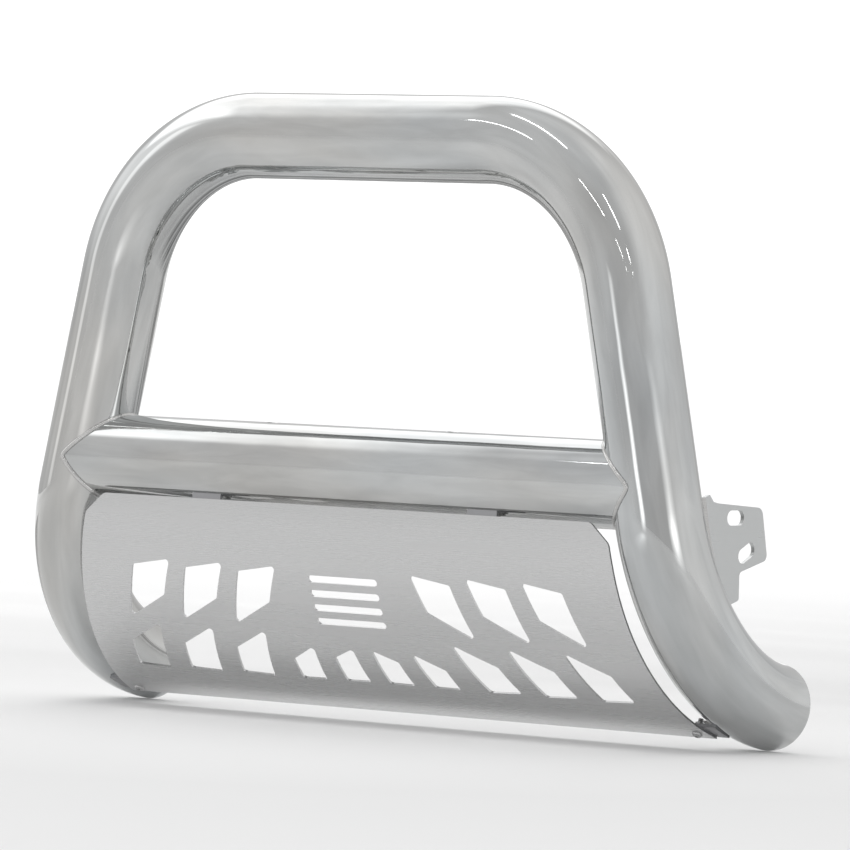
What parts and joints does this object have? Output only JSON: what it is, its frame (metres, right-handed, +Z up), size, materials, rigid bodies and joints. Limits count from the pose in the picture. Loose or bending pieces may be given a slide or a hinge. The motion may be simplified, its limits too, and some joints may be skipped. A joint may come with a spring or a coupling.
{
  "type": "front grille guard",
  "caption": "Tubular bull bar for a pickup's nose: polished hoop with swept-back legs, welded crossbar, perforated rolled skid plate and slotted mounting brackets.",
  "frame": {"origin": "midway between the upper slots of the two mounting brackets", "axes": "+X to the right seen from in front of the truck, +Y back towards the truck, +Z up"},
  "size_m": [0.766, 0.1904, 0.5543],
  "materials": {
    "polished_tube": "mirror-polished stainless steel",
    "brushed_plate": "stainless sheet brushed along its length",
    "weld_bead": "rippled weld bead, buffed",
    "bracket_plate": "satin stainless plate with laser-cut edges",
    "tab_plate": "plain mill-finish stainless tab",
    "fastener": "stainless fastener"
  },
  "bodies": {
    "root": {"bracket_weld_left": "weld_bead", "bracket_weld_right": "weld_bead", "crossbar_tube": "polished_tube", "crossbar_weld_left": "weld_bead", "crossbar_weld_right": "weld_bead", "hoop_tube": "polished_tube", "lower_bolts": "fastener", "lower_nuts": "fastener", "lower_tab_left": "tab_plate", "lower_tab_right": "tab_plate", "lower_tab_weld_left": "weld_bead", "lower_tab_weld_right": "weld_bead", "lower_washers": "fastener", "mount_bracket_left": "bracket_plate", "mount_bracket_right": "bracket_plate", "skid_plate": "brushed_plate", "tail_cap_left": "polished_tube", "tail_cap_right": "polished_tube", "upper_nuts": "fastener", "upper_studs": "fastener", "upper_tab_left": "tab_plate", "upper_tab_right": "tab_plate", "upper_tab_weld_left": "weld_bead", "upper_tab_weld_right": "weld_bead"}
  },
  "joints": []
}
